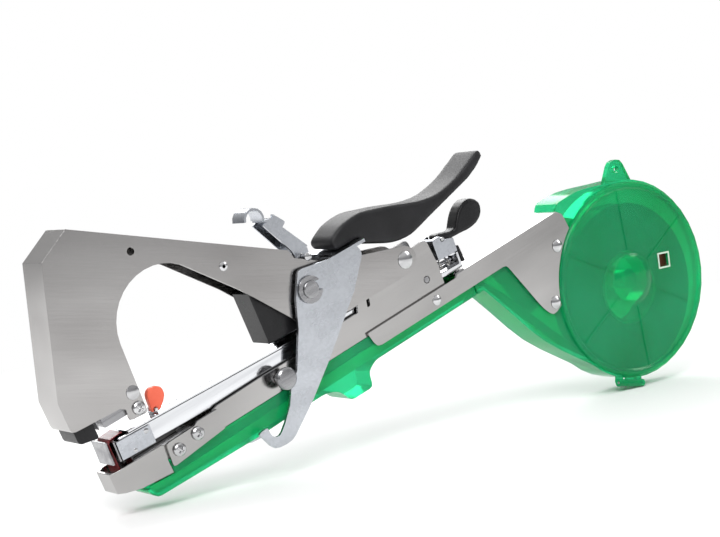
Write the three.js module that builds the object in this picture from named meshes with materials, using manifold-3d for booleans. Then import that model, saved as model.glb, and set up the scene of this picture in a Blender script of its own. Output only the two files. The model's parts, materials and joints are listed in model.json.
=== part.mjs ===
// Hand-held plant tying tool: a nose arm and a squeeze handle on a channel frame, a hinged staple
// magazine, and a round reel case that feeds tape under the frame to the mouth.
// Millimetres. The row frame has +Z up with the tool standing on its cover's tip and its reel case.
// Inside it is the tool frame: origin on the reel's axis at mid-width, +X towards the reel along the
// main frame, +Z square to the frame, and the nose at -X. Outlines are drawn in its X-Z plane.

import * as THREE from 'three';
import { mergeVertices } from 'three/addons/utils/BufferGeometryUtils.js';
import Module from 'manifold-3d';

const wasm = await Module();
wasm.setup();

// ---------------------------------------------------------------- driving dimensions

const STANCE = THREE.MathUtils.degToRad(18.2); // the main frame rises this much towards the reel
const SHEET = 1.2; // thickness of the frame and arm sheet
const GAP = 0.3; // clearance between touching pieces

// Half widths of the nested channels, from the inside out.
const MAGAZINE_HALF = 5.7;
const CLIP_HALF = 6.6;
const FRAME_HALF = 8.0;
const FRAME_IN = FRAME_HALF - SHEET;
const ARM_IN = FRAME_HALF + GAP;
const ARM_HALF = ARM_IN + SHEET;
const HANDLE_IN = 11.0;
const HANDLE_HALF = 12.5;
const STUD_HALF = 15.5;

// Heights of the main frame.
const FLOOR_Z = 49.5;
const FLOOR_TOP = FLOOR_Z + SHEET;
const WEB_TOP = 52.4;
const COVER_Z = 37.9;
const EAR_TOP = 74.5;

// Pivots, as [x, z].
const MAIN_PIVOT = [-124.0, 71.5];
const HANDLE_PIVOT = [-177.9, 83.7];
const CAM_STUD = [-206.3, 55.2];
const MAGAZINE_PIVOT = [-116.0, 57.5];
const KNOB_PIVOT = [-98.0, 69.6];
const LATCH_PIVOT = [-170.5, 96.0];
const NOSE_SCREW = [-271.6, 76.9];
const NOSE_RIVET = [-271.1, 83.8];
const ARM_RIVET = [-210.5, 111.0];
const ARM_HOLE = [-246.5, 135.6];
const CAP_SCREWS = { front: [-263.0, 52.4], rear: [-252.5, 54.2] };
const COVER_RIVET = [-116.0, 46.8];
const CASE_RIVETS = { upper: [-38.5, 37.1], lower: [-51.5, 12.8] };

// Reel.
const LID_R = 49.3;
const CASE_R = 50.3;
const CASE_WALL = 1.6;
const HUB_R = 12.0;
const CORE_IN = 17.0;
const CORE_OUT = 18.7;
const TAPE_R = 43.0;
const TAPE_HALF = 5.5;
const ROLL_DROP = 4.4; // the roll hangs this far below the hub's axis
const LID_HINGE_R = 52.6;
const LID_HINGE_ANGLE = THREE.MathUtils.degToRad(242);
const LID_Y = -(FRAME_HALF + GAP); // the lid's inner face

// Magazine, in its own frame: origin on its pivot, +X to the rear along the channel.
const MAGAZINE_TILT = THREE.MathUtils.degToRad(2.5);
const CHANNEL = { front: -168.0, rear: 23.5, bottom: -3.7, top: 4.0 };
const PUSH_Z = 0.9; // height of the pusher's rod
const STAPLE_FRONT = -163.8;
const STAPLE_REAR = -62.3;

// ---------------------------------------------------------------- materials

function finish(color, roughness, metalness) {
  return new THREE.MeshStandardMaterial({ color, roughness, metalness });
}

const STEEL = finish(0xb9b8b8, 0.3, 1.0);
const ZINC = finish(0xc3c8d0, 0.38, 1.0);
const CHROME = finish(0xd6d8dc, 0.12, 1.0);
const GREEN = finish(0x10b060, 0.25, 0.0);
const BLACK = finish(0x1b1c1e, 0.5, 0.0);
const CORAL = finish(0xf0624f, 0.4, 0.0);
const RED_TAPE = finish(0x7a1420, 0.45, 0.0);
const CARD = finish(0xb08a5c, 0.8, 0.0);

// ---------------------------------------------------------------- solids and booleans

function solid(geometry) {
  const bare = geometry.clone();
  bare.deleteAttribute('normal');
  bare.deleteAttribute('uv');
  const welded = mergeVertices(bare, 1e-4);
  return new wasm.Manifold(new wasm.Mesh({
    numProp: 3,
    vertProperties: Float32Array.from(welded.attributes.position.array),
    triVerts: Uint32Array.from(welded.index.array),
  }));
}

function geometryOf(manifold) {
  const mesh = manifold.getMesh();
  const geometry = new THREE.BufferGeometry();
  geometry.setAttribute('position', new THREE.BufferAttribute(Float32Array.from(mesh.vertProperties), 3));
  geometry.setIndex(new THREE.BufferAttribute(Uint32Array.from(mesh.triVerts), 1));
  geometry.computeVertexNormals();
  return geometry;
}

function join(...pieces) {
  return geometryOf(pieces.map(solid).reduce((sum, piece) => sum.add(piece)));
}

function cut(body, ...tools) {
  return geometryOf(tools.map(solid).reduce((rest, tool) => rest.subtract(tool), solid(body)));
}

// ---------------------------------------------------------------- shape helpers

// A closed outline through [x, z] or [x, z, corner length] points. A rounded corner takes up that
// length of each edge beside it, but never more than 0.45 of the edge.
function outline(points) {
  const shape = new THREE.Shape();
  const count = points.length;
  points.forEach(([x, z, length = 0], i) => {
    const towards = (other) => {
      const edge = new THREE.Vector2(other[0] - x, other[1] - z);
      return edge.setLength(Math.min(length, 0.45 * edge.length()));
    };
    const before = towards(points[(i + count - 1) % count]);
    const after = towards(points[(i + 1) % count]);
    if (i === 0) shape.moveTo(x + before.x, z + before.y);
    else shape.lineTo(x + before.x, z + before.y);
    if (length > 0) shape.quadraticCurveTo(x, z, x + after.x, z + after.y);
  });
  shape.closePath();
  return shape;
}

// Points on an arc, from one angle to another in degrees.
function arc([x, z], radius, from, to, steps) {
  return Array.from({ length: steps + 1 }, (_, i) => {
    const angle = THREE.MathUtils.degToRad(from + ((to - from) * i) / steps);
    return [x + radius * Math.cos(angle), z + radius * Math.sin(angle)];
  });
}

// An outline made solid between two widths.
function plate(points, y0, y1) {
  const geometry = new THREE.ExtrudeGeometry(outline(points), {
    depth: y1 - y0,
    bevelEnabled: false,
    curveSegments: 2,
  });
  return geometry.rotateX(Math.PI / 2).translate(0, y1, 0);
}

// The same outline on both sides of the middle.
function pair(points, yIn, yOut) {
  return [plate(points, yIn, yOut), plate(points, -yOut, -yIn)];
}

function box([x0, x1], [y0, y1], [z0, z1]) {
  return new THREE.BoxGeometry(x1 - x0, y1 - y0, z1 - z0)
    .translate((x0 + x1) / 2, (y0 + y1) / 2, (z0 + z1) / 2);
}

// A round bar across the tool.
function bar([x, z], radius, y0, y1, sides = 12) {
  return new THREE.CylinderGeometry(radius, radius, y1 - y0, sides).translate(x, (y0 + y1) / 2, z);
}

// A turned piece across the tool, from [radius, y] points that start and end on its axis.
function turned([x, z], profile, sides = 12) {
  const points = profile.map(([radius, y]) => new THREE.Vector2(radius, y));
  return new THREE.LatheGeometry(points, sides).translate(x, 0, z);
}

function ring([x, z], inner, outer, y0, y1, sides = 24) {
  return turned([x, z], [[inner, y0], [outer, y0], [outer, y1], [inner, y1], [inner, y0]], sides);
}

// A strip of even thickness along a line of [x, z] points.
function strip(line, thickness) {
  const side = (sign) => line.map(([x, z], i) => {
    const back = line[Math.max(i - 1, 0)];
    const next = line[Math.min(i + 1, line.length - 1)];
    const run = Math.hypot(next[0] - back[0], next[1] - back[1]);
    const shift = (sign * thickness) / 2 / run;
    return [x - (next[1] - back[1]) * shift, z + (next[0] - back[0]) * shift];
  });
  return [...side(-1), ...side(1).reverse()];
}

// A coil spring along +X from the origin.
class Helix extends THREE.Curve {
  constructor(radius, length, turns) {
    super();
    Object.assign(this, { radius, length, turns });
  }

  getPoint(t, target = new THREE.Vector3()) {
    const angle = 2 * Math.PI * this.turns * t;
    return target.set(this.length * t, this.radius * Math.cos(angle), this.radius * Math.sin(angle));
  }
}

function wire(path, radius, steps) {
  const section = new THREE.Shape();
  section.absarc(0, 0, radius, 0, 2 * Math.PI);
  return new THREE.ExtrudeGeometry(section, {
    extrudePath: path,
    steps,
    curveSegments: 2,
    bevelEnabled: false,
  });
}

// A cross-head screw whose head sits at a side's outer face; side is -1 near, +1 far.
function crossScrew([x, z], face, tip, side) {
  const HEAD_R = 2.9;
  const SHANK_R = 1.6;
  const RECESS = 0.7;
  const top = face + 1.8;
  const body = turned([0, 0], [
    [0, tip], [SHANK_R, tip], [SHANK_R, face], [HEAD_R, face], [HEAD_R, face + 0.9],
    [HEAD_R * 0.8, top - 0.3], [HEAD_R * 0.4, top], [0, top],
  ]);
  const slot = box([-RECESS / 2, RECESS / 2], [top - 1.0, top + 1], [-1.6, 1.6]);
  const cross = box([-1.6, 1.6], [top - 1.0, top + 1], [-RECESS / 2, RECESS / 2]);
  const screw = cut(body, slot, cross).rotateY(Math.PI / 5);
  if (side < 0) screw.rotateZ(Math.PI);
  return screw.translate(x, 0, z);
}

// A domed rivet through both sides.
function rivet(at, shank, head, rise, half) {
  const end = half + GAP / 2;
  return turned(at, [
    [0, -end - rise], [head * 0.55, -end - rise * 0.8], [head, -end], [shank, -end],
    [shank, end], [head, end], [head * 0.55, end + rise * 0.8], [0, end + rise],
  ]);
}

// The same rivet through one side only.
function sideRivet([x, z], shank, head, rise, inner, outer, side) {
  const body = turned([0, 0], [
    [0, inner], [shank, inner], [shank, outer], [head, outer],
    [head * 0.55, outer + rise * 0.8], [0, outer + rise],
  ]);
  if (side < 0) body.rotateZ(Math.PI);
  return body.translate(x, 0, z);
}

const tool = new THREE.Group();

function add(group, name, geometry, material) {
  const mesh = new THREE.Mesh(geometry, material);
  mesh.name = name;
  group.add(mesh);
}

// ---------------------------------------------------------------- main frame

// The front frame is a channel whose rear ends rise as ears for the main pivot. Its front plates
// stand proud, so that the cap's flanges fit inside them.
function frontFrame() {
  const wall = [
    [-241.5, FLOOR_Z], [-241.5, 58.6], [-238.5, 59.4], [-215.0, 59.8], [-194.0, 59.4], [-168.7, 61.4],
    [-157.0, 61.4], [-155.4, 65.0], [-154.7, 71.0, 2], [-148.5, EAR_TOP, 2], [-108.5, EAR_TOP, 2],
    [-107.0, 60.0], [-107.7, FLOOR_Z],
  ];
  const front = [
    [-240.0, FLOOR_Z], [-268.3, 47.0, 1.5], [-267.3, 57.4, 1.5], [-252.5, 57.6], [-250.3, 58.6],
    [-240.0, 58.6],
  ];
  const step = [[-241.5, FLOOR_Z], [-240.0, FLOOR_Z], [-240.0, 58.6], [-241.5, 58.6]];
  const floor = box([-267.0, -110.0], [-FRAME_HALF, FRAME_HALF], [FLOOR_Z, FLOOR_TOP]);
  const frontFloor = box([-267.0, -240.0], [-ARM_HALF, ARM_HALF], [FLOOR_Z, FLOOR_TOP]);
  const body = join(
    floor, frontFloor,
    ...pair(wall, FRAME_IN, FRAME_HALF), ...pair(front, ARM_IN, ARM_HALF), ...pair(step, FRAME_IN, ARM_HALF),
  );
  const slot = [[-151.4, 61.2, 0.6], [-149.6, 61.2, 0.6], [-148.2, 66.4, 0.6], [-150.0, 66.4, 0.6]];
  return cut(
    body,
    plate(slot, -STUD_HALF, STUD_HALF),
    bar(MAIN_PIVOT, 2.5 + GAP, -STUD_HALF, STUD_HALF),
    bar(MAGAZINE_PIVOT, 1.5 + GAP, -STUD_HALF, STUD_HALF),
    bar(CAM_STUD, 2.75 + GAP, -STUD_HALF, STUD_HALF),
    bar(CAP_SCREWS.front, 1.6 + GAP, -STUD_HALF, STUD_HALF),
    bar(CAP_SCREWS.rear, 1.6 + GAP, -STUD_HALF, STUD_HALF),
  );
}

// The rear frame is a channel turned over: its sides end in ears riveted to the reel case, whose
// rear edge follows the lid.
function rearFrame() {
  const side = [
    [-157.4, WEB_TOP - SHEET, 1], [-155.5, 43.0, 3], [-71.5, 43.0, 2], [-60.0, 14.0, 3], [-55.5, 7.4, 3],
    ...arc([0, 0], LID_R + 0.6, 168.5, 123.5, 8),
    [-28.6, 50.0, 2], [-32.0, WEB_TOP], [-100.0, WEB_TOP], [-101.5, WEB_TOP - SHEET],
  ];
  const web = box([-100.0, -32.0], [-ARM_HALF, ARM_HALF], [WEB_TOP - SHEET, WEB_TOP]);
  const notch = new THREE.CylinderGeometry(5.5, 5.5, 20, 20).rotateX(Math.PI / 2).translate(-100, 0, WEB_TOP);
  return cut(
    join(...pair(side, ARM_IN, ARM_HALF), web),
    notch,
    bar(CASE_RIVETS.upper, 2.0 + GAP, -STUD_HALF, STUD_HALF),
    bar(CASE_RIVETS.lower, 2.0 + GAP, -STUD_HALF, STUD_HALF),
    bar(COVER_RIVET, 1.5 + GAP, -STUD_HALF, STUD_HALF),
  );
}

// The cap is one bent band with chamfered corners; its flanges run back inside the front plates.
function frontCap() {
  const FRONT_X = -294.0;
  const CHAMFER = 2.6;
  const plan = (half, front, chamfer) => {
    const shape = new THREE.Shape();
    shape.moveTo(-243.0, -half);
    shape.lineTo(front + chamfer, -half);
    shape.lineTo(front, -half + chamfer * 0.8);
    shape.lineTo(front, half - chamfer * 0.8);
    shape.lineTo(front + chamfer, half);
    shape.lineTo(-243.0, half);
    shape.closePath();
    return new THREE.ExtrudeGeometry(shape, { depth: 20, bevelEnabled: false }).translate(0, 0, 44);
  };
  const band = cut(
    plan(FRAME_HALF, FRONT_X, CHAMFER),
    plan(FRAME_IN + 0.1, FRONT_X + SHEET, CHAMFER).translate(0.01, 0, 0),
  );
  const side = [
    [-268.6, 44.6], [-268.6, FLOOR_TOP + GAP], [-243.0, FLOOR_TOP + GAP], [-243.0, 57.0], [-268.0, 57.0],
    [-269.0, 57.6], [-286.0, 58.0], [-295.0, 58.0], [-295.0, 49.2], [-284.0, 46.0],
  ];
  const cap = geometryOf(solid(band).intersect(solid(plate(side, -STUD_HALF, STUD_HALF))));
  return cut(
    cap,
    bar(CAP_SCREWS.front, 1.6 + GAP, -STUD_HALF, STUD_HALF),
    bar(CAP_SCREWS.rear, 1.6 + GAP, -STUD_HALF, STUD_HALF),
  );
}

// The driver stands under the magazine's open front and lifts the first staple out.
function driverBlade() {
  const block = box([-280.4, -249.0], [-6.2, 6.2], [FLOOR_TOP + GAP, 54.4]);
  const blade = box([-281.4, -280.4], [-3.6, 3.6], [FLOOR_TOP + GAP, 61.0]);
  return join(block, blade);
}

// The cover is a trough that carries the tape under the frame, with a hooked finger stop.
function tapeCover() {
  const TOP = FLOOR_Z - GAP;
  const side = [
    [-93.0, COVER_Z], [-93.0, TOP], [-268.2, TOP], [-268.2, 44.0], [-280.6, 45.0], [-282.4, 43.0, 1],
    [-279.5, 39.0, 2], [-226.0, 37.4], [-212.0, 37.6], [-187.5, 37.4, 3],
    [-181.4, 34.6, 2], [-177.3, 28.0, 2], [-164.4, 27.8, 2], [-163.4, 35.0, 2], [-158.0, COVER_Z, 2],
  ];
  const hollow = [
    [-90.0, COVER_Z + SHEET], [-90.0, 60.0], [-296.0, 60.0], [-296.0, 43.6], [-280.4, 43.6],
    [-278.6, COVER_Z + 2.6], [-226.0, COVER_Z + SHEET],
  ];
  const half = FRAME_HALF - 0.05;
  return cut(
    plate(side, -half, half),
    plate(hollow, -half + SHEET, half - SHEET),
    bar(COVER_RIVET, 1.5 + GAP, -STUD_HALF, STUD_HALF),
  );
}

for (const [name, geometry, material] of [
  ['front_frame', frontFrame(), STEEL],
  ['rear_frame', rearFrame(), STEEL],
  ['front_cap', frontCap(), STEEL],
  ['driver_blade', driverBlade(), STEEL],
  ['tape_cover', tapeCover(), GREEN],
]) add(tool, name, geometry, material);

for (const [sideName, side] of [['near', -1], ['far', 1]]) {
  for (const [place, at] of Object.entries(CAP_SCREWS)) {
    add(tool, `cap_screw_${sideName}_${place}`, crossScrew(at, ARM_HALF + 0.1, 6.5, side), ZINC);
  }
  const coverRivet = sideRivet(COVER_RIVET, 1.5, 2.6, 1.0, FRAME_HALF - SHEET, ARM_HALF + 0.1, side);
  add(tool, `cover_rivet_${sideName}`, coverRivet, ZINC);
  const stud = turned([0, 0], [
    [0, FRAME_IN + 0.2], [2.75, FRAME_IN + 0.2], [2.75, 13.2], [5.0, 13.2], [5.0, 14.6],
    [4.2, STUD_HALF - 0.2], [2.0, STUD_HALF], [0, STUD_HALF],
  ], 16);
  if (side < 0) stud.rotateZ(Math.PI);
  add(tool, `cam_stud_${sideName}`, stud.translate(CAM_STUD[0], 0, CAM_STUD[1]), STEEL);
  const stub = bar([0, 0], 1.5, MAGAZINE_HALF - SHEET + 0.1, FRAME_HALF + 0.1, 12);
  if (side < 0) stub.rotateZ(Math.PI);
  add(tool, `magazine_pivot_${sideName}`, stub.translate(MAGAZINE_PIVOT[0], 0, MAGAZINE_PIVOT[1]), STEEL);
}

add(tool, 'main_pivot_pin', rivet(MAIN_PIVOT, 2.5, 4.2, 1.2, ARM_HALF), ZINC);

// The return spring is wound round the main pivot, with one leg under the arm and one to the rear.
function returnSpring() {
  const COIL_R = 4.2;
  const TURNS = 6;
  const LENGTH = 9.6;
  const [x, z] = MAIN_PIVOT;
  const points = [new THREE.Vector3(x - 30, -LENGTH / 2, z + 9.2)];
  const steps = TURNS * 8;
  for (let i = 0; i <= steps; i += 1) {
    const angle = Math.PI / 2 + (2 * Math.PI * (TURNS + 0.3) * i) / steps;
    const y = -LENGTH / 2 + (LENGTH * i) / steps;
    points.push(new THREE.Vector3(x + COIL_R * Math.cos(angle), y, z + COIL_R * Math.sin(angle)));
  }
  return wire(new THREE.CatmullRomCurve3(points), 0.65, 64);
}

add(tool, 'return_spring', returnSpring(), STEEL);

function liftSpring() {
  const HEIGHT = 6.2;
  const coil = wire(new Helix(3.0, HEIGHT - 0.8, 3.5), 0.4, 28);
  return coil.rotateY(-Math.PI / 2).translate(-232.0, 0, FLOOR_TOP + GAP + 0.4);
}

add(tool, 'magazine_lift_spring', liftSpring(), STEEL);

// ---------------------------------------------------------------- reel case

const down = [-Math.sin(STANCE), -Math.cos(STANCE)];
const ROLL = [down[0] * ROLL_DROP, down[1] * ROLL_DROP];

// A block drawn along the rim's tangent at the lid's hinge: [radial], [width], [tangential].
function hingeBlock([r0, r1], [y0, y1], [t0, t1]) {
  return box([r0, r1], [y0, y1], [t0, t1]).rotateY(-LID_HINGE_ANGLE);
}

function hingeKnuckle(radius, t0, t1) {
  const axisY = LID_Y - 0.6;
  return new THREE.CylinderGeometry(radius, radius, t1 - t0, 12).rotateX(Math.PI / 2)
    .translate(LID_HINGE_R, axisY, (t0 + t1) / 2).rotateY(-LID_HINGE_ANGLE);
}

// The case is a teardrop tub: round under the lid, with a neck that runs up into the rear frame.
function caseBody() {
  const NECK_TOP = WEB_TOP - SHEET - GAP;
  const teardrop = [
    [-92.0, NECK_TOP], [-31.5, NECK_TOP], [-28.5, 55.3, 2], [-14.0, 55.6, 8],
    ...arc([0, 0], CASE_R, 80, -148, 26),
    [-66.0, -1.5, 12], [-79.0, 22.5, 8], [-88.0, COVER_Z], [-92.0, COVER_Z],
  ];
  const shell = plate(teardrop, -FRAME_HALF, FRAME_HALF);
  const throat = [
    [-100.0, NECK_TOP - CASE_WALL], [-30.0, NECK_TOP - CASE_WALL], [0, 30], [-30, -20], [-43.0, -23.0],
    [-64.0, -0.5], [-77.2, 23.2], [-86.9, COVER_Z + CASE_WALL], [-100.0, COVER_Z + CASE_WALL],
  ];
  const pocket = bar([0, 0], CASE_R - CASE_WALL - 0.5, -STUD_HALF, FRAME_HALF - CASE_WALL, 36);
  const hub = bar([0, 0], HUB_R, -FRAME_HALF + 1.4, FRAME_HALF - 0.5, 18);
  const hanger = cut(
    plate([[4.0, 49.0], [13.6, 59.2, 3], [20.4, 57.6, 3], [22.6, 44.0]], -7.6, -4.6),
    bar([15.8, 53.6], 1.7, -STUD_HALF, STUD_HALF),
  );
  const arms = [[-8.5, -4.2], [4.2, 8.5]].map((run) => hingeBlock([CASE_R - 1.2, LID_HINGE_R], [-8.0, -6.6], run));
  const knuckles = [[-8.5, -4.2], [4.2, 8.5]].map(([t0, t1]) => hingeKnuckle(1.9, t0, t1));
  const tub = join(
    cut(shell, plate(throat, -FRAME_HALF + CASE_WALL, FRAME_HALF - CASE_WALL), pocket),
    hub, hanger, ...arms, ...knuckles,
  );
  return cut(
    tub,
    hingeKnuckle(0.8 + GAP, -20, 20),
    bar([0, 0], 5.0, -STUD_HALF, FRAME_HALF - 2.6, 16),
    bar(CASE_RIVETS.upper, 2.0 + GAP, -STUD_HALF, STUD_HALF),
    bar(CASE_RIVETS.lower, 2.0 + GAP, -STUD_HALF, STUD_HALF),
  );
}

// The lid is a shallow dish with a raised rim, a domed middle, six ribs and a square window.
function caseLid() {
  const profile = [
    [0, LID_Y - 3.2], [8.0, LID_Y - 3.0], [11.5, LID_Y - 2.0], [13.0, LID_Y - 1.2], [45.5, LID_Y - 1.2],
    [46.5, LID_Y - 1.9], [48.6, LID_Y - 1.9], [LID_R, LID_Y - 1.2], [LID_R, LID_Y], [47.6, LID_Y],
    [47.6, LID_Y + 2.4], [46.4, LID_Y + 2.4], [46.4, LID_Y], [12.4, LID_Y], [10.8, LID_Y - 0.8],
    [7.6, LID_Y - 1.7], [0, LID_Y - 2.0],
  ];
  const ribs = Array.from({ length: 6 }, (_, i) => box([14, 45], [LID_Y - 1.7, LID_Y - 0.8], [-0.6, 0.6])
    .rotateY((i * Math.PI) / 3 - STANCE));
  const arm = hingeBlock([LID_R - 1.5, LID_HINGE_R], [LID_Y - 1.2, LID_Y - 0.3], [-3.8, 3.8]);
  const window = box([-3.2, 3.2], [LID_Y - 9, LID_Y + 9], [-3.2, 3.2]).rotateY(0.3).translate(23.5, 0, -1.0);
  return cut(
    join(turned([0, 0], profile, 36), ...ribs, arm, hingeKnuckle(1.9, -3.8, 3.8)),
    window,
    hingeKnuckle(0.8 + GAP, -20, 20),
  );
}

// The tape runs off the roll, down the neck, under the frame and up through the mouth.
function tapeStrip() {
  const line = [
    [-37.1, -29.2], [-76.0, 29.5], [-86.0, 42.0], [-97.0, 44.6], [-180.0, 44.2], [-270.0, 43.2],
    [-277.5, 44.6], [-286.5, 50.6], [-288.4, 55.0], [-288.4, 68.8], [-287.2, 70.2], [-281.0, 70.6],
  ];
  return plate(strip(line, 0.4), -TAPE_HALF, TAPE_HALF);
}

add(tool, 'case_body', caseBody(), GREEN);
add(tool, 'case_lid', caseLid(), GREEN);
add(tool, 'lid_hinge_pin', hingeKnuckle(0.8, -8.3, 8.3), ZINC);
add(tool, 'tape_strip', tapeStrip(), RED_TAPE);
add(tool, 'roll_core', ring(ROLL, CORE_IN, CORE_OUT, -5.7, 5.7), CARD);
add(tool, 'tape_roll', ring(ROLL, CORE_OUT + GAP, TAPE_R, -TAPE_HALF, TAPE_HALF, 32), RED_TAPE);
for (const [place, at] of Object.entries(CASE_RIVETS)) {
  add(tool, `case_rivet_${place}`, rivet(at, 2.0, 3.3, 1.3, ARM_HALF), ZINC);
}

// ---------------------------------------------------------------- nose arm

const THROAT = [-243.5, 102.4];
const THROAT_R = 23.8;

// The arm is folded from one sheet: two sides, a top and a front, open below. Its sides straddle
// the frame's ears at the main pivot.
function armShell() {
  const side = [
    [-268.3, 156.0], [-283.4, 148.4], [-302.0, 95.3], [-302.0, 81.8, 2], [-279.1, 80.6], [-276.9, 79.0],
    [-277.3, 73.9, 1.5], [-268.6, 73.2, 1.5], [-267.4, 100.0], ...arc(THROAT, THROAT_R, 176, 50, 12),
    [-207.6, 98.4], [-181.5, 65.0, 6], [MAIN_PIVOT[0], 65.0],
    ...arc(MAIN_PIVOT, 6.5, -90, 72, 8), [-161.2, 88.8], [-177.2, 98.6], [-178.5, 102.9],
  ];
  const hollow = [
    [-268.3, 154.6], [-282.4, 147.6], [-300.7, 95.0], [-300.7, 60.0], [-110.0, 60.0], [-110.0, 100.0],
    [-176.0, 100.0], [-176.0, 103.0], [-179.2, 101.5],
  ];
  return cut(
    cut(plate(side, -ARM_HALF, ARM_HALF), plate(hollow, -ARM_IN, ARM_IN)),
    bar(ARM_HOLE, 1.7, -STUD_HALF, STUD_HALF, 14),
    bar(ARM_RIVET, 1.4 + GAP, -STUD_HALF, STUD_HALF),
    bar(NOSE_RIVET, 2.0 + GAP, -STUD_HALF, STUD_HALF),
    bar(NOSE_SCREW, 1.6 + GAP, -STUD_HALF, STUD_HALF),
    bar(HANDLE_PIVOT, 4.0 + GAP, -STUD_HALF, STUD_HALF, 20),
    bar(MAIN_PIVOT, 2.5 + GAP, -STUD_HALF, STUD_HALF, 20),
    bar(LATCH_PIVOT, 1.2 + GAP, -STUD_HALF, STUD_HALF),
  );
}

// The clincher turns the staple's legs over; two grooves guide them.
function clincher() {
  const block = plate([[-288.0, 76.4, 1], [-274.8, 76.4, 1], [-274.8, 81.4], [-288.0, 83.6]], -7.9, 7.9);
  const grooves = [-2.6, 2.6].map((y) => box([-283.4, -279.0], [y - 1.1, y + 1.1], [75.0, 77.2]));
  return cut(block, ...grooves);
}

// The cutter is a thin toothed blade in front of the clincher.
function cutterBlade() {
  const TOOTH = 1.5;
  const shape = new THREE.Shape();
  shape.moveTo(-6.0, 84.0);
  for (let i = 0; i < 8; i += 1) {
    shape.lineTo(-6.0 + i * TOOTH, 77.2);
    shape.lineTo(-6.0 + (i + 0.5) * TOOTH, 76.3);
  }
  shape.lineTo(6.0, 77.2);
  shape.lineTo(6.0, 84.0);
  shape.closePath();
  return new THREE.ExtrudeGeometry(shape, { depth: 0.6, bevelEnabled: false })
    .rotateX(Math.PI / 2).rotateZ(Math.PI / 2).translate(-289.8, 0, 0);
}

// The tape catch is a folded spring-steel clip with two prongs.
function tapeCatch() {
  const back = box([-274.3, -273.6], [-6.1, 6.1], [77.0, 88.0]);
  const prong = (y) => plate([[-276.4, 82.4], [-274.0, 82.4], [-274.0, 86.6], [-276.4, 84.4]], y - 0.4, y + 0.4);
  return join(back, prong(-5.7), prong(5.7));
}

add(tool, 'arm_shell', armShell(), STEEL);
add(tool, 'clincher', clincher(), STEEL);
add(tool, 'cutter_blade', cutterBlade(), STEEL);
add(tool, 'tape_catch', tapeCatch(), ZINC);
add(tool, 'nose_pad', plate(
  [[-300.4, 81.6], [-300.4, 75.6, 1.5], [-291.4, 73.8, 1], [-291.4, 82.0]], -7.6, 7.6,
), BLACK);
add(tool, 'press_block', plate(
  [[-203.6, 70.2], [-203.6, 94.4], [-198.0, 94.4], [-186.0, 79.0], [-172.0, 78.4], [-172.0, 68.9]], -7.2, 7.2,
), BLACK);
add(tool, 'nose_rivet', rivet(NOSE_RIVET, 2.0, 3.2, 0.5, ARM_HALF), ZINC);
add(tool, 'arm_rivet', cut(rivet(ARM_RIVET, 1.4, 2.1, 0.6, ARM_HALF), bar(ARM_RIVET, 0.8, -20, 20, 10)), ZINC);
add(tool, 'nose_screw_near', crossScrew(NOSE_SCREW, ARM_HALF + 0.1, 6.6, -1), ZINC);
add(tool, 'nose_screw_far', crossScrew(NOSE_SCREW, ARM_HALF + 0.1, 6.6, 1), ZINC);

// ---------------------------------------------------------------- handle

const PIN_R = 4.0;
const GROOVE_R = 3.1;
const CLIP_Y = HANDLE_HALF + 0.3;
const CLIP_THICK = 0.9;

// The handle is a steel fork: two plates with hooked fingers that run on the cam studs, a bridge
// over the arm, and a tail inside the grip.
function handleFrame() {
  const side = [
    [-179.6, 93.9, 2], [-163.0, 91.1], [-147.5, 91.1, 2], [-145.6, 85.8, 2], [-157.2, 72.5], [-181.7, 52.0],
    [-197.7, 39.8], [-214.5, 29.0, 3], [-224.2, 30.0, 3], [-228.4, 40.1, 1.5], [-223.2, 40.5, 1],
    [-223.0, 35.6, 2], [-219.3, 33.9, 2], [-214.6, 37.8], [-209.0, 43.6], [-204.8, 50.4], [-203.1, 54.0],
    [-199.6, 54.4, 1], [-190.7, 70.6], [-186.1, 82.8],
  ];
  const bridge = box([-158.0, -142.0], [-HANDLE_HALF, HANDLE_HALF], [89.6, 91.1]);
  const tail = plate(strip([[-147.0, 90.35], [-136.0, 90.2], [-120.0, 87.6], [-106.0, 86.4], [-97.0, 87.2]], 1.5),
    -5.0, 5.0);
  return cut(
    join(...pair(side, HANDLE_IN, HANDLE_HALF), bridge, tail),
    bar(HANDLE_PIVOT, PIN_R + GAP, -STUD_HALF, STUD_HALF, 20),
  );
}

function grip() {
  const side = [
    [-155.5, 91.6, 1], [-157.5, 96.4, 3], [-148.0, 100.8, 3], [-137.0, 101.9, 4], [-120.0, 97.2, 5],
    [-104.0, 91.8, 5], [-93.0, 90.4, 4], [-80.0, 92.4, 4], [-61.6, 99.6, 2], [-60.8, 95.4, 2],
    [-71.1, 89.9, 4], [-102.9, 82.7, 4], [-115.5, 79.6, 4], [-126.0, 80.9, 4], [-136.5, 86.0, 3],
    [-141.6, 88.2], [-141.6, 91.6],
  ];
  const body = plate(side, -9.5, 9.5);
  const socket = plate(strip([[-150.0, 90.35], [-136.0, 90.2], [-120.0, 87.6], [-106.0, 86.4], [-96.4, 87.3]], 2.2),
    -5.4, 5.4);
  const clearance = box([-158.6, -141.2], [-20, 20], [80, 91.5]);
  return cut(body, socket, clearance);
}

function pivotPin() {
  const end = CLIP_Y + CLIP_THICK + 0.9;
  const neck = CLIP_Y - 0.1;
  const rim = CLIP_Y + CLIP_THICK + 0.1;
  return turned(HANDLE_PIVOT, [
    [0, -end], [PIN_R - 0.4, -end], [PIN_R, -rim - 0.4], [PIN_R, -rim], [GROOVE_R, -rim], [GROOVE_R, -neck],
    [PIN_R, -neck], [PIN_R, neck], [GROOVE_R, neck], [GROOVE_R, rim], [PIN_R, rim], [PIN_R, rim + 0.4],
    [PIN_R - 0.4, end], [0, end],
  ], 16);
}

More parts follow.
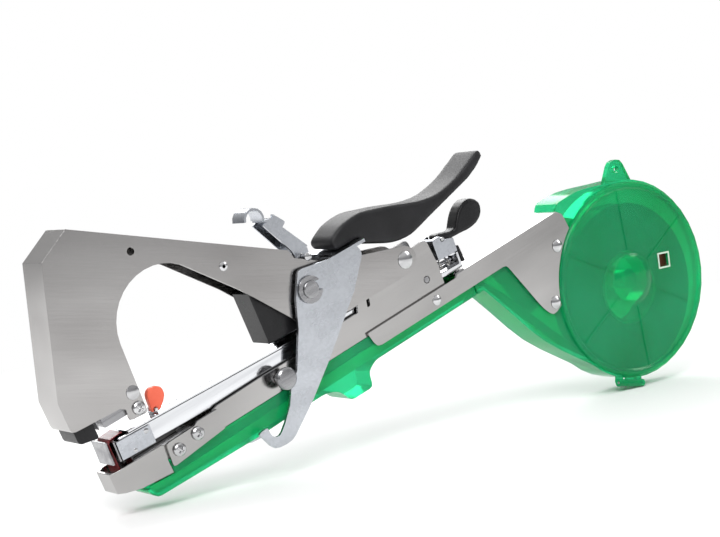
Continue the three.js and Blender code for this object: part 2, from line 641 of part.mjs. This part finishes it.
// A retaining clip: a flat ring with its mouth to the rear.
function pivotClip(side) {
  const OUTER = 6.2;
  const y0 = side > 0 ? CLIP_Y : -CLIP_Y - CLIP_THICK;
  const disc = ring(HANDLE_PIVOT, GROOVE_R + 0.25, OUTER, y0, y0 + CLIP_THICK, 20);
  const [x, z] = HANDLE_PIVOT;
  return cut(disc, box([x, x + OUTER + 1], [-20, 20], [z - 2.2, z + 2.2]));
}

add(tool, 'handle_frame', handleFrame(), ZINC);
add(tool, 'handle_grip', grip(), BLACK);
add(tool, 'handle_pivot_pin', pivotPin(), STEEL);
add(tool, 'pivot_clip_near', pivotClip(-1), STEEL);
add(tool, 'pivot_clip_far', pivotClip(1), STEEL);

// The thumb latch is a folded strip with a rolled end, on a cross pin at the arm's open rear.
function thumbLatch() {
  const cheek = [
    [-173.6, 94.4, 2], [-167.2, 93.6, 2], [-166.4, 98.8, 1], [-178.6, 117.6, 1], [-182.8, 117.0, 1],
    [-174.6, 101.0],
  ];
  const cheeks = pair(cheek, 4.0, 5.0);
  const back = plate([[-166.8, 98.8], [-166.0, 99.4], [-178.0, 118.4], [-179.0, 117.8]], -5.0, 5.0);
  const roll = [
    ...arc([-185.6, 121.0], 5.2, -30, 170, 8),
    ...arc([-185.6, 121.0], 4.1, 170, -30, 8),
  ];
  const tongue = plate([[-181.6, 118.0], [-180.8, 118.8], [-177.6, 117.6], [-178.2, 116.4]], -5.0, 5.0);
  const fold = plate([[-178.4, 114.4], [-176.4, 119.8, 1], [-171.6, 113.6, 1], [-175.4, 111.2]], -5.0, -3.8);
  return cut(join(...cheeks, back, plate(roll, -5.0, 5.0), tongue, fold), bar(LATCH_PIVOT, 1.2 + GAP, -20, 20, 12));
}

add(tool, 'thumb_latch', thumbLatch(), ZINC);
add(tool, 'latch_pin', rivet(LATCH_PIVOT, 1.2, 2.0, 0.6, ARM_HALF), ZINC);

// ---------------------------------------------------------------- magazine

const magazine = new THREE.Group();
magazine.position.set(MAGAZINE_PIVOT[0], 0, MAGAZINE_PIVOT[1]);
magazine.rotation.y = MAGAZINE_TILT;
tool.add(magazine);

const REAR_DROP = 9.0; // the channel's walls are low behind this
const TAB_PIVOT = [-147.4, 7.0];

function magazineChannel() {
  const { front, rear, bottom, top } = CHANNEL;
  const wall = [[front, bottom], [front, top], [REAR_DROP, top], [REAR_DROP, -1.6], [rear, -1.6], [rear, bottom]];
  const floor = box([-163.3, rear], [-MAGAZINE_HALF, MAGAZINE_HALF], [bottom, bottom + SHEET]);
  const backWall = box([rear - SHEET, rear], [-MAGAZINE_HALF, MAGAZINE_HALF], [bottom, top]);
  return cut(
    join(...pair(wall, MAGAZINE_HALF - SHEET, MAGAZINE_HALF), floor, backWall),
    bar([0, 0], 1.5 + GAP, -STUD_HALF, STUD_HALF),
    box([rear - 5, rear + 5], [-1.5, 1.5], [PUSH_Z - 1.5, PUSH_Z + 1.5]),
  );
}

// The cover closes the channel's top, with a long slot and a lug for the release tab.
function magazineCover() {
  const BASE = CHANNEL.top + GAP;
  const top = box([-163.0, -20.0], [-MAGAZINE_HALF, MAGAZINE_HALF], [BASE, BASE + 0.8]);
  const lug = plate([[-149.4, BASE], [-149.4, 8.6, 1.5], [-145.4, 8.6, 1.5], [-145.4, BASE]], -1.2, -0.2);
  return cut(
    join(top, lug),
    box([-140.0, -70.0], [-0.6, 0.6], [BASE - 1, BASE + 2]),
    bar(TAB_PIVOT, 0.8 + GAP, -STUD_HALF, STUD_HALF, 10),
  );
}

// The front clip wraps the channel's front end.
function magazineClip() {
  const outer = box([-170.0, -153.5], [-CLIP_HALF, CLIP_HALF], [-4.8, 3.4]);
  const inner = box([-169.0, -150.0], [-MAGAZINE_HALF - GAP, MAGAZINE_HALF + GAP], [-6, 6]);
  return cut(outer, inner);
}

// Two plates, joined at the far side, between which the tape comes out.
function tapeGuide() {
  const half = CLIP_HALF - 0.2;
  const body = box([-174.7, -170.4], [-half, half], [-4.8, 5.4]);
  const slit = box([-173.8, -171.2], [-20, half - 0.6], [-6, 6]);
  const rearTop = box([-173.0, -170.0], [-20, 20], [4.0, 6.0]);
  return cut(body, slit, rearTop);
}

function stapleStrip() {
  const body = box([STAPLE_FRONT, STAPLE_REAR], [-4.0, 4.0], [-2.1, 3.2]);
  const inside = box([STAPLE_FRONT - 1, STAPLE_REAR + 1], [-3.2, 3.2], [-1.3, 4]);
  return cut(body, inside);
}

// The latch block is folded zinc sheet on the channel's rear, slotted for the knob's stem.
function magazineLatch() {
  const block = plate([
    [11.6, 4.4], [11.6, 14.4, 1], [16.6, 14.8, 1], [18.2, 12.4], [23.6, 11.0], [23.6, 4.4],
  ], -MAGAZINE_HALF, MAGAZINE_HALF);
  const slot = box([13.2, 30], [-3.4, 3.4], [8.6, 20]);
  return cut(block, slot, bar(magazinePoint(KNOB_PIVOT), 0.9 + GAP, -20, 20, 10));
}

// A tool-frame point in the magazine's frame.
function magazinePoint([x, z]) {
  const point = new THREE.Vector3(x - MAGAZINE_PIVOT[0], 0, z - MAGAZINE_PIVOT[1]);
  point.applyAxisAngle(new THREE.Vector3(0, 1, 0), -MAGAZINE_TILT);
  return [point.x, point.z];
}

add(magazine, 'magazine_channel', magazineChannel(), CHROME);
add(magazine, 'magazine_cover', magazineCover(), CHROME);
add(magazine, 'magazine_clip', magazineClip(), ZINC);
add(magazine, 'tape_guide', tapeGuide(), STEEL);
add(magazine, 'staple_strip', stapleStrip(), ZINC);
add(magazine, 'magazine_latch', magazineLatch(), ZINC);

// The release tab is a teardrop that tips back on a small pin.
function releaseTab() {
  const [x, z] = TAB_PIVOT;
  const drop = [
    [x - 1.8, z - 0.8, 1], [x + 1.8, z - 1.2, 1], [x + 6.6, z + 3.6, 2.5], [x + 6.2, z + 8.2, 3],
    [x + 1.4, z + 9.8, 3], [x - 1.6, z + 7.6, 2],
  ];
  return cut(plate(drop, -4.6, -1.6), bar(TAB_PIVOT, 0.8 + GAP, -20, 20, 10));
}

add(magazine, 'release_tab', releaseTab(), CORAL);
add(magazine, 'release_tab_pin', bar(TAB_PIVOT, 0.8, -5.2, 0.4, 10), ZINC);

// The pusher: a follower behind the staples, its rod and spring, and a black plate to pull it by.
const FOLLOWER = { front: -62.0, rear: -48.0 };

function pusherFollower() {
  const body = box([FOLLOWER.front, FOLLOWER.rear], [-4.1, 4.1], [-2.1, 3.8]);
  const well = box([FOLLOWER.front + 2, FOLLOWER.rear - 2], [-2.6, 2.6], [0.4, 5]);
  return cut(body, well);
}

function pusherSpring() {
  const start = FOLLOWER.rear + 0.9;
  const coil = wire(new Helix(2.6, CHANNEL.rear - SHEET - 0.9 - start, 14), 0.45, 98);
  return coil.translate(start, 0, PUSH_Z);
}

const rod = new THREE.CylinderGeometry(1.0, 1.0, 24.2 - FOLLOWER.rear - 0.6, 10).rotateZ(Math.PI / 2)
  .translate((24.2 + FOLLOWER.rear) / 2, 0, PUSH_Z);
add(magazine, 'pusher_follower', pusherFollower(), ZINC);
add(magazine, 'pusher_spring', pusherSpring(), STEEL);
add(magazine, 'pusher_rod', rod, STEEL);
add(magazine, 'pusher_plate', plate(
  [[24.2, -1.6], [26.0, -1.6], [25.0, 6.6], [24.2, 6.6]], -MAGAZINE_HALF, MAGAZINE_HALF,
), BLACK);

// ---------------------------------------------------------------- magazine release knob

function releaseKnob() {
  const stem = plate([
    [-100.6, 68.4, 1], [-97.0, 66.8, 1], [-82.0, 66.6, 2], [-80.0, 71.0, 2], [-90.0, 69.8], [-98.5, 72.2, 1],
  ], -3.0, 3.0);
  const drop = plate([
    [-88.6, 67.4], [-81.3, 66.2, 3], [-73.9, 66.8, 4], [-69.2, 70.6, 4], [-68.6, 75.4, 4], [-72.6, 79.4, 4],
    [-77.6, 79.4, 4], [-82.4, 76.4, 3], [-86.6, 71.2, 2],
  ], -4.0, 4.0);
  return cut(join(stem, drop), bar(KNOB_PIVOT, 0.9 + GAP, -20, 20, 10));
}

add(tool, 'release_knob', releaseKnob(), BLACK);
add(tool, 'release_knob_pin', bar(KNOB_PIVOT, 0.9, -6.0, 6.0, 10), ZINC);

// ---------------------------------------------------------------- standing pose

const group = new THREE.Group();
tool.rotation.y = -STANCE;
group.add(tool);
group.updateMatrixWorld(true);
const bounds = new THREE.Box3().setFromObject(group, true);
const middle = bounds.getCenter(new THREE.Vector3());
tool.position.set(-middle.x, -middle.y, -bounds.min.z);

export default group;
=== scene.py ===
"""Hand-held plant tying tool: steel nose arm, squeeze handle, staple magazine and green reel case."""

import json
import math

import bmesh
import bpy
from mathutils import Matrix, Vector

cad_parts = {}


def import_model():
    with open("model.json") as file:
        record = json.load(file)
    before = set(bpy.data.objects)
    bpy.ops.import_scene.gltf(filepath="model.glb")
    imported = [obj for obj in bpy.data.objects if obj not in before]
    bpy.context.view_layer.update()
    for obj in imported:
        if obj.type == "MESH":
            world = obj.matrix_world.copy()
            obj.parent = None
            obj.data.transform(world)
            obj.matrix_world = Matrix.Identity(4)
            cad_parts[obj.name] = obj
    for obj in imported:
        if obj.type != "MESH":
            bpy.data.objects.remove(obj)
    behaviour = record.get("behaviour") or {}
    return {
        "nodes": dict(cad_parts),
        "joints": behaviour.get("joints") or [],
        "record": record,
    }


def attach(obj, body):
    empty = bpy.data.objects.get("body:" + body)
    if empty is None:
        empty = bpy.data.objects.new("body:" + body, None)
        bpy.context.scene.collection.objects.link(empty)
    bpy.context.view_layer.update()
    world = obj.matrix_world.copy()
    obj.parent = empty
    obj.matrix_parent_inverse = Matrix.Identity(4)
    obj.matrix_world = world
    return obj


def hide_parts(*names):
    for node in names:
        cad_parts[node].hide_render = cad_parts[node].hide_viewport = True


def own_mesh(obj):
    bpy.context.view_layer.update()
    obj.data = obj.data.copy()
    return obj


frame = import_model()
NODES = frame["nodes"]
JOINTS = {joint["name"]: joint for joint in frame["joints"]}
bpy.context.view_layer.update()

MM = 0.001
STANCE = math.radians(18.2)  # the main frame rises this much towards the reel
ROLL_DROP = 4.4 * MM  # the tape roll hangs this far below the reel's axis
REEL = Vector(JOINTS["reel_spin"]["pos_m"]) + Vector((0, 0, ROLL_DROP))

# The tool frame: millimetres, origin on the reel's axis, +X towards the reel along the main frame.
TOOL = Matrix.Translation(REEL) @ Matrix.Rotation(-STANCE, 4, "Y") @ Matrix.Scale(MM, 4)

# ---------------------------------------------------------------- materials


class Look:
    """A procedural material on the tool's own axes, in millimetres, with short calls for its nodes."""

    def __init__(self, name, grain_tilt=STANCE, **constants):
        self.material = bpy.data.materials.new(name)
        self.material.use_nodes = True
        self.tree = self.material.node_tree
        self.shader = self.tree.nodes["Principled BSDF"]
        for socket, value in constants.items():
            self.shader.inputs[socket.replace("_", " ")].default_value = value
        self.grain_tilt = grain_tilt

    def node(self, kind, **inputs):
        node = self.tree.nodes.new(kind)
        for socket, value in inputs.items():
            self.feed(node.inputs[socket.replace("_", " ")], value)
        return node

    def feed(self, socket, value):
        if isinstance(value, bpy.types.NodeSocket):
            self.tree.links.new(value, socket)
        else:
            socket.default_value = value

    def place(self, stretch=(1, 1, 1)):
        """Object coordinates turned along the grain and stretched, in repeats per millimetre."""
        coordinates = self.node("ShaderNodeTexCoord")
        turned = self.node("ShaderNodeMapping", Vector=coordinates.outputs["Object"])
        turned.inputs["Rotation"].default_value = (0, self.grain_tilt, 0)
        scaled = self.node("ShaderNodeMapping", Vector=turned.outputs["Vector"])
        scaled.inputs["Scale"].default_value = [factor / MM for factor in stretch]
        return scaled.outputs["Vector"]

    def noise(self, stretch, detail=3.0, rough=0.5):
        noise = self.node("ShaderNodeTexNoise", Vector=self.place(stretch), Scale=1.0, Detail=detail,
                          Roughness=rough)
        return noise.outputs["Fac"]

    def cells(self, per_mm):
        """A random tone for each crystal."""
        cells = self.node("ShaderNodeTexVoronoi", Vector=self.place((per_mm,) * 3), Scale=1.0)
        return cells.outputs["Color"]

    def spread(self, factor, low, high, start=0.35, end=0.65):
        """A number that runs from low to high as the factor runs from start to end."""
        node = self.node("ShaderNodeMapRange", Value=factor)
        node.inputs["From Min"].default_value = start
        node.inputs["From Max"].default_value = end
        node.inputs["To Min"].default_value = low
        node.inputs["To Max"].default_value = high
        return node.outputs["Result"]

    def tones(self, factor, dark, light, start=0.35, end=0.65):
        ramp = self.node("ShaderNodeValToRGB", Fac=factor)
        stops = ramp.color_ramp.elements
        stops[0].position, stops[0].color = start, (*dark, 1)
        stops[1].position, stops[1].color = end, (*light, 1)
        return ramp.outputs["Color"]

    def colour(self, factor, dark, light, start=0.35, end=0.65):
        self.feed(self.shader.inputs["Base Color"], self.tones(factor, dark, light, start, end))

    def roughness(self, factor, low, high):
        self.feed(self.shader.inputs["Roughness"], self.spread(factor, low, high))

    def bump(self, factor, height, strength=1.0):
        bump = self.node("ShaderNodeBump", Height=factor, Strength=strength, Distance=height * MM)
        self.feed(self.shader.inputs["Normal"], bump.outputs["Normal"])


def brushed(name, dark, light, rough, grain_tilt=STANCE, lines=7.0):
    """Rolled sheet with fine lines along the grain and slow cloudy changes of tone."""
    look = Look(name, grain_tilt, Metallic=1.0)
    grain = look.noise((0.05, lines, lines), detail=3.0, rough=0.5)
    clouds = look.noise((0.012, 0.02, 0.03), detail=2.0)
    look.colour(clouds, dark, light, 0.3, 0.7)
    look.roughness(grain, rough - 0.03, rough + 0.05)
    look.bump(grain, 0.002, 0.3)
    return look.material


def spangled(name, dark, light):
    """Bright zinc plate: small crystals of slightly different tone, and shallow dents."""
    look = Look(name, Metallic=1.0)
    crystals = look.cells(1.1)
    smears = look.noise((0.05, 0.08, 0.12), detail=3.0)
    look.colour(crystals, dark, light, 0.0, 1.0)
    look.roughness(smears, 0.2, 0.32)
    look.bump(smears, 0.01, 0.2)
    return look.material


def polished(name, dark, light, rough=0.12):
    """Plated metal: nearly a mirror, with faint drawing lines."""
    look = Look(name, Metallic=1.0)
    lines = look.noise((0.02, 3.0, 3.0), detail=3.0)
    look.colour(look.noise((0.01, 0.3, 0.3)), dark, light)
    look.roughness(lines, rough - 0.04, rough + 0.08)
    look.bump(lines, 0.006, 0.3)
    return look.material


def translucent_green(name, dark, light, clear):
    """Clear-dyed moulded plastic: light goes through it, and it takes the dye's colour on the way."""
    look = Look(name, IOR=1.2, Transmission_Weight=clear, Coat_Weight=0.15, Coat_Roughness=0.1)
    flow = look.noise((0.03, 0.03, 0.03), detail=3.0)
    ripple = look.noise((0.04, 0.04, 0.04), detail=1.0)
    look.colour(flow, dark, light, 0.3, 0.7)
    look.roughness(ripple, 0.12, 0.2)
    look.bump(ripple, 0.05, 0.2)
    return look.material


def moulded(name, dark, light, rough, pits=2.2, height=0.05):
    """Opaque moulded plastic with a fine spark-eroded grain."""
    look = Look(name, Specular_IOR_Level=0.35)
    grain = look.noise((pits, pits, pits), detail=4.0, rough=0.65)
    look.colour(look.noise((0.08, 0.08, 0.08)), dark, light)
    look.roughness(grain, rough - 0.08, rough + 0.1)
    look.bump(grain, height, 0.5)
    return look.material


def wound_film(name):
    """Plastic tape wound on a core: the edges of its layers are fine rings about the roll's axis."""
    look = Look(name, Coat_Weight=0.3)
    coordinates = look.node("ShaderNodeTexCoord")
    shifted = look.node("ShaderNodeVectorMath", Vector=coordinates.outputs["Object"])
    shifted.operation = "SUBTRACT"
    shifted.inputs[1].default_value = JOINTS["reel_spin"]["pos_m"]
    flat = look.node("ShaderNodeVectorMath", Vector=shifted.outputs["Vector"])
    flat.operation = "MULTIPLY"
    flat.inputs[1].default_value = (1, 0, 1)
    length = look.node("ShaderNodeVectorMath", Vector=flat.outputs["Vector"])
    length.operation = "LENGTH"
    layers = look.node("ShaderNodeTexNoise", Scale=1.6 / MM, Detail=3.0)
    layers.noise_dimensions = "1D"
    look.feed(layers.inputs["W"], length.outputs["Value"])
    look.colour(layers.outputs["Fac"], (0.16, 0.008, 0.012), (0.32, 0.02, 0.025))
    look.roughness(layers.outputs["Fac"], 0.3, 0.5)
    look.bump(layers.outputs["Fac"], 0.15, 0.6)
    return look.material


def card(name):
    """Spiral-wound card with a fibrous surface."""
    look = Look(name, Specular_IOR_Level=0.2)
    fibres = look.noise((0.4, 3.0, 0.4), detail=6.0, rough=0.7)
    look.colour(fibres, (0.36, 0.23, 0.13), (0.52, 0.37, 0.23))
    look.roughness(fibres, 0.75, 0.95)
    look.bump(fibres, 0.08, 0.6)
    return look.material


def pale_edge(name):
    """Rubbed, whitened plastic."""
    look = Look(name)
    rub = look.noise((2.0, 2.0, 2.0), detail=3.0)
    look.colour(rub, (0.45, 0.62, 0.48), (0.72, 0.8, 0.7))
    look.roughness(rub, 0.35, 0.5)
    look.bump(rub, 0.03, 0.4)
    return look.material


ARM_TILT = math.radians(27.0)  # between the main frame and the arm's top edge
ARM_GRAIN = STANCE - ARM_TILT  # the arm's sheet is brushed along that edge

LOOKS = {
    "brushed_steel": brushed("brushed_steel", (0.32, 0.315, 0.31), (0.48, 0.47, 0.465), 0.17),
    "plain_steel": polished("plain_steel", (0.26, 0.26, 0.27), (0.4, 0.4, 0.41), 0.24),
    "spring_steel": polished("spring_steel", (0.22, 0.21, 0.2), (0.38, 0.37, 0.35), 0.28),
    "zinc_plate": spangled("zinc_plate", (0.46, 0.48, 0.51), (0.54, 0.56, 0.6)),
    "zinc_fasteners": polished("zinc_fasteners", (0.5, 0.5, 0.51), (0.66, 0.66, 0.67), 0.18),
    "magazine_chrome": polished("magazine_chrome", (0.5, 0.51, 0.53), (0.72, 0.73, 0.75), 0.08),
    "staples": polished("staples", (0.5, 0.5, 0.52), (0.74, 0.75, 0.78), 0.2),
    "green_case": translucent_green("green_case", (0.01, 0.56, 0.2), (0.03, 0.68, 0.3), 0.7),
    "green_lid": translucent_green("green_lid", (0.01, 0.58, 0.22), (0.03, 0.7, 0.32), 0.75),
    "black_grip": moulded("black_grip", (0.006, 0.006, 0.007), (0.012, 0.012, 0.014), 0.5),
    "black_plastic": moulded("black_plastic", (0.005, 0.005, 0.006), (0.01, 0.01, 0.011), 0.34),
    "coral_plastic": moulded("coral_plastic", (0.75, 0.1, 0.05), (0.86, 0.16, 0.09), 0.32, height=0.02),
    "red_tape": wound_film("red_tape"),
    "card": card("card"),
}
ARM_STEEL = brushed("arm_steel", (0.33, 0.32, 0.315), (0.46, 0.45, 0.445), 0.2, ARM_GRAIN)

# ---------------------------------------------------------------- CAD nodes, with soft edges


def edge_group():
    """Geometry nodes that weld a mesh and shade it smooth, except across folds and corners."""
    CORNER = math.radians(28)
    group = bpy.data.node_groups.new("weld_and_smooth", "GeometryNodeTree")
    group.interface.new_socket("Geometry", in_out="INPUT", socket_type="NodeSocketGeometry")
    group.interface.new_socket("Geometry", in_out="OUTPUT", socket_type="NodeSocketGeometry")
    nodes, links = group.nodes, group.links
    source = nodes.new("NodeGroupInput")
    bare = nodes.new("GeometryNodeRemoveAttribute")
    bare.inputs["Name"].default_value = "custom_normal"
    weld = nodes.new("GeometryNodeMergeByDistance")
    weld.inputs["Distance"].default_value = 0.002 * MM
    faces = nodes.new("GeometryNodeSetShadeSmooth")
    angle = nodes.new("GeometryNodeInputMeshEdgeAngle")
    sharp = nodes.new("FunctionNodeCompare")
    sharp.operation = "GREATER_THAN"
    sharp.inputs["B"].default_value = CORNER
    edges = nodes.new("GeometryNodeSetShadeSmooth")
    edges.domain = "EDGE"
    edges.inputs["Shade Smooth"].default_value = False
    result = nodes.new("NodeGroupOutput")
    links.new(source.outputs[0], bare.inputs["Geometry"])
    links.new(bare.outputs[0], weld.inputs["Geometry"])
    links.new(weld.outputs[0], faces.inputs[0])
    links.new(angle.outputs["Unsigned Angle"], sharp.inputs["A"])
    links.new(sharp.outputs[0], edges.inputs["Selection"])
    links.new(faces.outputs[0], edges.inputs[0])
    links.new(edges.outputs[0], result.inputs[0])
    return group


EDGES = edge_group()
WIRE_EDGE = 0.05 * MM
SMALL_EDGE = 0.1 * MM
RIM_EDGE = 0.12 * MM
SOFT_EDGE = 0.18 * MM
WIDE_EDGE = 0.5 * MM
WIDE_NODES = {"arm_shell", "front_cap", "case_body", "tape_cover", "thumb_latch", "press_block", "nose_pad"}


def soften(obj, width):
    """Rounds an object's corners without touching its mesh."""
    obj.modifiers.new("weld_and_smooth", "NODES").node_group = EDGES
    flat = obj.modifiers.new("merge_flat_faces", "DECIMATE")
    flat.decimate_type = "DISSOLVE"
    flat.angle_limit = math.radians(0.5)
    bevel = obj.modifiers.new("soft_edges", "BEVEL")
    bevel.limit_method = "ANGLE"
    bevel.angle_limit = math.radians(40)
    bevel.width = width
    bevel.segments = 2
    bevel.harden_normals = True


# Rounded plastic pieces: the voxel in millimetres and the rounds of smoothing.
MOULDINGS = {"handle_grip": (0.9, 14), "release_knob": (0.45, 10), "release_tab": (0.35, 8)}


def mould(obj, voxel, rounds):
    """Turns a sharp-cornered block into a rounded moulding a little inside it; voxel in millimetres."""
    remesh = obj.modifiers.new("even_faces", "REMESH")
    remesh.mode = "VOXEL"
    remesh.voxel_size = voxel * MM
    remesh.use_smooth_shade = True
    smooth = obj.modifiers.new("rounding", "SMOOTH")
    smooth.factor = 0.6
    smooth.iterations = rounds


def dress(obj, material):
    """Gives an object this one material."""
    obj.data.materials.clear()
    obj.data.materials.append(material)


SLOTS = {part["node"]: part["material_slot"] for part in frame["record"]["subparts"]}
for name, node in NODES.items():
    dress(node, ARM_STEEL if name == "arm_shell" else LOOKS[SLOTS[name]])
    if name in MOULDINGS:
        mould(node, *MOULDINGS[name])
    else:
        soften(node, WIDE_EDGE if name in WIDE_NODES else SOFT_EDGE)

# ---------------------------------------------------------------- added pieces


def piece(name, mesh, material, body):
    """Puts a bmesh drawn in the tool frame into the row frame, on a CAD body."""
    mesh.transform(TOOL)
    bmesh.ops.recalc_face_normals(mesh, faces=mesh.faces)
    data = bpy.data.meshes.new(name)
    mesh.to_mesh(data)
    mesh.free()
    obj = bpy.data.objects.new(name, data)
    bpy.context.collection.objects.link(obj)
    dress(obj, material)
    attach(obj, body)
    return obj


def window_rim():
    """A pale moulded rim round the lid's square window."""
    CENTRE = (23.5, -1.0)
    TURN = 0.3
    FACE_Y = -9.5
    PROUD = 0.35
    INNER, OUTER = 3.25, 4.1
    mesh = bmesh.new()
    loops = []
    for half, y in ((INNER, FACE_Y), (INNER, FACE_Y - PROUD), (OUTER, FACE_Y - PROUD), (OUTER, FACE_Y)):
        corners = []
        for x, z in ((-half, -half), (half, -half), (half, half), (-half, half)):
            across = x * math.cos(TURN) + z * math.sin(TURN)
            up = z * math.cos(TURN) - x * math.sin(TURN)
            corners.append(mesh.verts.new((CENTRE[0] + across, y, CENTRE[1] + up)))
        loops.append(corners)
    for first, second in zip(loops, loops[1:] + loops[:1]):
        for i in range(4):
            mesh.faces.new((first[i], first[i - 1], second[i - 1], second[i]))
    rim = piece("window_rim", mesh, pale_edge("window_rim"), "lid")
    soften(rim, RIM_EDGE)


def turned_piece(name, centre, profile, material, body):
    """A round piece across the tool, from (radius, y) points in millimetres that start on its axis."""
    SIDES = 40
    x, z = centre
    turn = [2 * math.pi * i / SIDES for i in range(SIDES)]
    mesh = bmesh.new()
    tip = mesh.verts.new((x, profile[0][1], z))
    rings = []
    for radius, y in profile[1:]:
        places = [(x + radius * math.cos(angle), y, z + radius * math.sin(angle)) for angle in turn]
        rings.append([mesh.verts.new(place) for place in places])
    for i in range(SIDES):
        mesh.faces.new((tip, rings[0][i], rings[0][i - 1]))
        for inner, outer in zip(rings, rings[1:]):
            mesh.faces.new((inner[i], outer[i], outer[i - 1], inner[i - 1]))
    mesh.faces.new(rings[-1])
    obj = piece(name, mesh, material, body)
    soften(obj, SMALL_EDGE)
    return obj


def clip_rivets():
    """Small domed rivets on the near face of the magazine's front clip, too low to touch the cap."""
    FACE_Y = -6.6
    RISE = 0.24
    SHOULDER = 0.2
    RIM = 0.05
    SUNK = 0.3
    SPOTS = {"clip_rivet_front": (-279.2, 61.2, 0.9), "clip_rivet_rear": (-271.6, 66.0, 1.2)}
    for name, (x, z, radius) in SPOTS.items():
        dome = [
            (0, FACE_Y - RISE),
            (radius * 0.6, FACE_Y - SHOULDER),
            (radius, FACE_Y - RIM),
            (radius, FACE_Y + SUNK),
        ]
        rivet = turned_piece(name, (x, z), dome, LOOKS["zinc_fasteners"], "magazine")


def coil(node, body):
    """A copy of a spring node with soft edges that rides on a body; the CAD node itself is hidden."""
    spring = bpy.data.objects.new(node + "_coil", NODES[node].data.copy())
    bpy.context.collection.objects.link(spring)
    soften(spring, WIRE_EDGE)
    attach(spring, body)
    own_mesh(spring)
    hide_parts(node)


def springs():
    """The magazine's lift spring stands on the frame's floor; the pusher's ends at the channel's rear."""
    coil("magazine_lift_spring", "frame")
    coil("pusher_spring", "magazine")


window_rim()
clip_rivets()
springs()

# ---------------------------------------------------------------- stage, light and camera


def floor():
    """A pale disc that brightens to white away from the tool, so that no horizon shows."""
    RADIUS = 6.0
    CLEAR_R = 0.2
    FADE_R = 0.55
    mesh = bmesh.new()
    bmesh.ops.create_circle(mesh, cap_ends=True, radius=RADIUS, segments=96)
    data = bpy.data.meshes.new("floor")
    mesh.to_mesh(data)
    mesh.free()
    disc = bpy.data.objects.new("floor", data)
    bpy.context.collection.objects.link(disc)
    look = Look("pale_floor", Specular_IOR_Level=0.1)
    mottle = look.noise((0.002, 0.002, 0.002), detail=2.0)
    look.colour(mottle, (0.86, 0.86, 0.86), (0.9, 0.9, 0.9))
    look.roughness(mottle, 0.8, 0.9)
    place = look.node("ShaderNodeTexCoord")
    distance = look.node("ShaderNodeVectorMath", Vector=place.outputs["Object"])
    distance.operation = "LENGTH"
    far = look.spread(distance.outputs["Value"], 0, 1, CLEAR_R, FADE_R)
    path = look.node("ShaderNodeLightPath")
    seen = look.node("ShaderNodeMath")
    seen.operation = "MULTIPLY"
    look.feed(seen.inputs[0], far)
    look.feed(seen.inputs[1], path.outputs["Is Camera Ray"])
    glow = look.node("ShaderNodeEmission", Color=(1, 1, 1, 1))
    blend = look.node("ShaderNodeMixShader", Fac=seen.outputs[0])
    look.tree.links.new(look.shader.outputs[0], blend.inputs[1])
    look.tree.links.new(glow.outputs[0], blend.inputs[2])
    output = look.tree.nodes["Material Output"]
    look.tree.links.new(blend.outputs[0], output.inputs["Surface"])
    dress(disc, look.material)


def world():
    """White behind the object, and a studio that darkens away from the top for reflections."""
    studio = bpy.data.worlds.new("studio")
    studio.use_nodes = True
    bpy.context.scene.world = studio
    tree = studio.node_tree
    coordinates = tree.nodes.new("ShaderNodeTexCoord")
    split = tree.nodes.new("ShaderNodeSeparateXYZ")
    ramp = tree.nodes.new("ShaderNodeValToRGB")
    stops = ramp.color_ramp.elements
    stops[0].position, stops[0].color = 0.0, (0.2, 0.2, 0.21, 1)
    stops[1].position, stops[1].color = 1.0, (1.0, 1.0, 1.0, 1)
    middle = stops.new(0.4)
    middle.color = (0.55, 0.55, 0.55, 1)
    path = tree.nodes.new("ShaderNodeLightPath")
    pick = tree.nodes.new("ShaderNodeMix")
    pick.data_type = "RGBA"
    pick.inputs["B"].default_value = (1, 1, 1, 1)
    tree.links.new(coordinates.outputs["Generated"], split.inputs[0])
    tree.links.new(split.outputs["Z"], ramp.inputs["Fac"])
    tree.links.new(ramp.outputs["Color"], pick.inputs["A"])
    tree.links.new(path.outputs["Is Camera Ray"], pick.inputs["Factor"])
    tree.links.new(pick.outputs["Result"], tree.nodes["Background"].inputs["Color"])


def softbox(name, place, size, power):
    """A square area light, in metres and watts, that faces the middle of the tool."""
    TOOL_MIDDLE = Vector((0, 0, 0.06))
    data = bpy.data.lights.new(name, "AREA")
    data.size = size
    data.energy = power
    light = bpy.data.objects.new(name, data)
    aim = TOOL_MIDDLE - Vector(place)
    light.matrix_world = Matrix.Translation(place) @ aim.to_track_quat("-Z", "Y").to_matrix().to_4x4()
    bpy.context.collection.objects.link(light)


def camera():
    """The tool is seen from its nose end and near side, by a camera rolled a little clockwise."""
    TURN = math.radians(34.34)  # from square-on to the near side
    DROP = math.radians(4.45)  # below level
    ROLL = math.radians(-6.84)
    FROM_REEL = Vector((-0.5671, -0.5974, 0.0843))
    data = bpy.data.cameras.new("camera")
    data.lens = 80.0
    data.sensor_width = 36.0
    data.clip_start = 0.05
    seat = bpy.data.objects.new("camera", data)
    facing = Matrix.Rotation(-TURN, 4, "Z") @ Matrix.Rotation(math.pi / 2 - DROP, 4, "X")
    seat.matrix_world = Matrix.Translation(REEL + FROM_REEL) @ facing @ Matrix.Rotation(ROLL, 4, "Z")
    bpy.context.collection.objects.link(seat)
    bpy.context.scene.camera = seat


floor()
world()
softbox("key", (-0.9, -0.8, 1.3), 0.9, 18)
softbox("fill", (1.3, -0.7, 0.9), 0.5, 4)
softbox("back", (0.4, 1.1, 1.0), 1.0, 14)
camera()
bpy.context.scene.view_settings.view_transform = "Standard"
